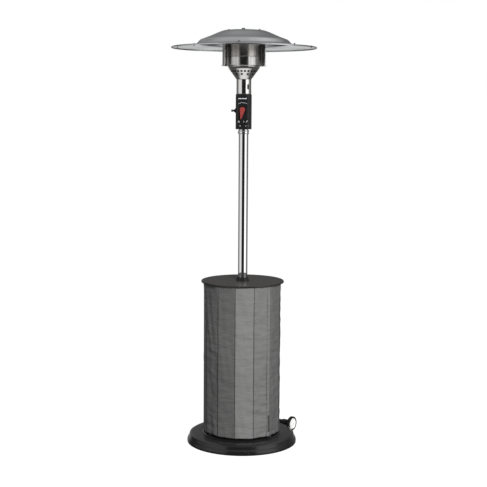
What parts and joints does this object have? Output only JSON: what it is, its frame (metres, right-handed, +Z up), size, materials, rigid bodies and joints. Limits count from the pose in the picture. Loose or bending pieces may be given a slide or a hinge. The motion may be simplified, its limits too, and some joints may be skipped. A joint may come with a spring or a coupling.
{
  "type": "outdoor heater",
  "caption": "Free-standing gas patio heater with a panelled cloth bottle cover, chromed pole, control box, perforated burner head, wind shield and a wide dished reflector.",
  "frame": {"origin": "on the floor, on the heater's vertical axis, under the middle of the reflector's outline", "axes": "+Z up; the control box and its knob face -Y; +X is to the right when looking at the knob"},
  "size_m": [0.7542, 0.7542, 2.18],
  "materials": {
    "black_paint": "satin black enamel",
    "lid_paint": "satin dark grey enamel",
    "cast_iron": "rough",
    "rubber": "matt",
    "tyre": "matt",
    "zinc_steel": "bright zinc plate",
    "chrome": "polished",
    "brushed_steel": "brushed",
    "aluminium": "satin, spun",
    "grey_cloth": "woven, matt",
    "black_plastic": "fine grain",
    "red_plastic": "glossy",
    "pale_plastic": "moulded",
    "brass": "machined"
  },
  "bodies": {
    "heater": {"base_ballast": "cast_iron", "base_foot_1": "rubber", "base_foot_2": "rubber", "base_foot_3": "rubber", "base_foot_4": "rubber", "base_shell": "black_paint", "burner_funnel": "brushed_steel", "burner_head": "brushed_steel", "burner_tube": "brushed_steel", "centre_nut": "black_paint", "control_housing_back": "black_plastic", "control_housing_front": "black_plastic", "emitter_cap": "brushed_steel", "emitter_mesh": "brushed_steel", "emitter_ring": "brushed_steel", "gas_pipe": "brass", "gas_valve": "brass", "hose_nipple": "brass", "igniter_boot": "black_plastic", "injector_pipe": "brass", "knob_bezel": "black_plastic", "piezo_igniter": "black_plastic", "pole": "chrome", "pole_clamp": "chrome", "pole_flange": "zinc_steel", "post_plate": "zinc_steel", "reflector_bolt_1": "zinc_steel", "reflector_bolt_2": "zinc_steel", "reflector_bolt_3": "zinc_steel", "reflector_bolt_4": "zinc_steel", "reflector_hub": "aluminium", "reflector_segment_1": "aluminium", "reflector_segment_2": "aluminium", "reflector_segment_3": "aluminium", "reflector_segment_4": "aluminium", "shield_bracket_1": "brushed_steel", "shield_bracket_2": "brushed_steel", "shield_bracket_3": "brushed_steel", "spark_electrode": "zinc_steel", "support_post_1": "zinc_steel", "support_post_2": "zinc_steel", "support_post_3": "zinc_steel", "thermocouple": "zinc_steel", "tilt_switch": "black_plastic", "wheel_axle": "zinc_steel", "wheel_bracket": "black_paint", "wind_shield": "brushed_steel"},
    "cover": {"lid": "lid_paint", "lid_collar": "black_plastic", "fabric_cover": "grey_cloth", "cover_hoop_top": "black_paint", "cover_hoop_bottom": "black_paint"},
    "valve_plug": {"valve_plug": "brass"},
    "knob": {"knob": "red_plastic"},
    "igniter_button": {"igniter_button": "black_plastic"},
    "wheel_1": {"wheel_1_tyre": "tyre", "wheel_1_hub": "pale_plastic"},
    "wheel_2": {"wheel_2_tyre": "tyre", "wheel_2_hub": "pale_plastic"}
  },
  "joints": [
    {"name": "cover_lift", "type": "slide", "parent": "heater", "child": "cover", "axis": [0, 0, 1], "range_m": [0, 0.74]},
    {"name": "knob_turn", "type": "hinge", "parent": "heater", "child": "valve_plug", "pos_m": [0, 0, 1.7585], "axis": [0, -1, 0], "range_deg": [0, 180]},
    {"name": "knob_push", "type": "slide", "parent": "valve_plug", "child": "knob", "axis": [0, 1, 0], "range_m": [0, 0.005], "stiffness_N_per_m": 600},
    {"name": "igniter_push", "type": "slide", "parent": "heater", "child": "igniter_button", "axis": [1, 0, 0], "range_m": [0, 0.004], "stiffness_N_per_m": 1500},
    {"name": "wheel_1_roll", "type": "hinge", "parent": "heater", "child": "wheel_1", "pos_m": [0.25642, 0.19858, 0.0459], "axis": [0.8746, -0.4848, 0], "continuous": true},
    {"name": "wheel_2_roll", "type": "hinge", "parent": "heater", "child": "wheel_2", "pos_m": [0.03252, 0.3227, 0.0459], "axis": [0.8746, -0.4848, 0], "continuous": true}
  ]
}
